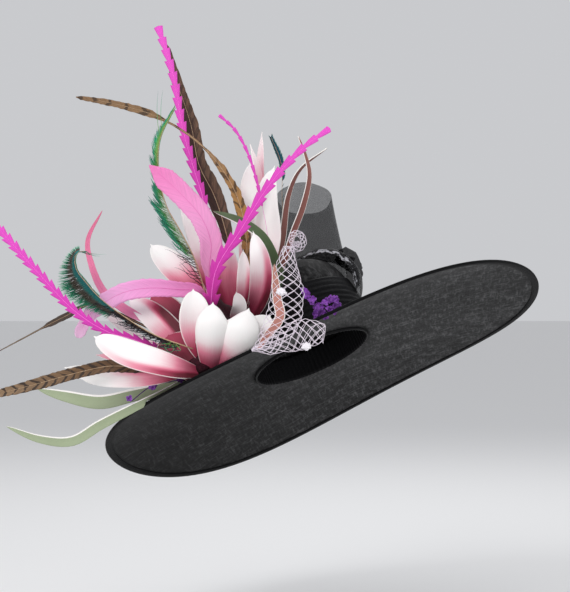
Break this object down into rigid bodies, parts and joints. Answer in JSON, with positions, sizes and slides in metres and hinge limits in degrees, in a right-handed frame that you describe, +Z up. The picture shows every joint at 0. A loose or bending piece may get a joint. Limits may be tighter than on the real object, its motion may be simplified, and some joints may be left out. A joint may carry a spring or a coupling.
{
  "type": "wide-brimmed fascinator hat",
  "caption": "Very wide tilted black sinamay hat with foam magnolias, leaves, long feathers and a pale net at the front of the brim.",
  "frame": {"origin": "middle of the oval head opening, where the hat sits on the head", "axes": "+X to the right as seen from the front, +Y from the front to the back, +Z up with the head upright; the hat keeps its worn tilt"},
  "size_m": [0.8017, 0.6885, 0.693],
  "materials": {
    "sinamay": "woven, dull",
    "binding": "satin",
    "crin": "sheer, glossy",
    "felt": "matt",
    "hot_pink_feather": "matt",
    "pale_pink_feather": "soft",
    "peacock_feather": "iridescent",
    "pheasant_feather": "barred, silky",
    "leaf_foam": "matt",
    "petal_foam": "matt, shaded from white to rose",
    "net": "satin thread",
    "floret": "matt",
    "tuft": "soft"
  },
  "bodies": {
    "root": {"brim": "sinamay", "brim_binding": "binding", "head_band": "sinamay", "crown": "sinamay", "hat_band": "crin", "crin_tube": "crin", "crown_drape": "crin", "side_loop": "crin", "stem_pad": "felt", "pink_feather_1": "hot_pink_feather", "pink_feather_2": "hot_pink_feather", "pink_feather_3": "hot_pink_feather", "pink_feather_4": "hot_pink_feather", "goose_feather_1": "pale_pink_feather", "goose_feather_2": "pale_pink_feather", "goose_feather_3": "pale_pink_feather", "peacock_feather_1": "peacock_feather", "peacock_feather_2": "peacock_feather", "peacock_feather_3": "peacock_feather", "pheasant_feather_1": "pheasant_feather", "pheasant_feather_2": "pheasant_feather", "pheasant_feather_3": "pheasant_feather", "pheasant_feather_4": "pheasant_feather", "leaf_1": "leaf_foam", "leaf_2": "leaf_foam", "leaf_3": "leaf_foam", "leaf_4": "leaf_foam", "leaf_5": "leaf_foam", "leaf_6": "leaf_foam", "front_petal_1": "petal_foam", "front_petal_2": "petal_foam", "front_petal_3": "petal_foam", "front_petal_4": "petal_foam", "left_petal_1": "petal_foam", "left_petal_2": "petal_foam", "left_petal_3": "petal_foam", "left_petal_4": "petal_foam", "left_petal_5": "petal_foam", "left_petal_6": "petal_foam", "left_petal_7": "petal_foam", "left_petal_8": "petal_foam", "top_petal_1": "petal_foam", "top_petal_2": "petal_foam", "top_petal_3": "petal_foam", "top_petal_4": "petal_foam", "top_petal_5": "petal_foam", "top_petal_6": "petal_foam", "top_petal_7": "petal_foam", "top_petal_8": "petal_foam", "top_petal_9": "petal_foam", "top_petal_10": "petal_foam", "veil_net": "net", "veil_curl": "net", "sprig_right": "floret", "sprig_left": "floret", "tuft_1": "tuft", "tuft_2": "tuft"}
  },
  "joints": []
}
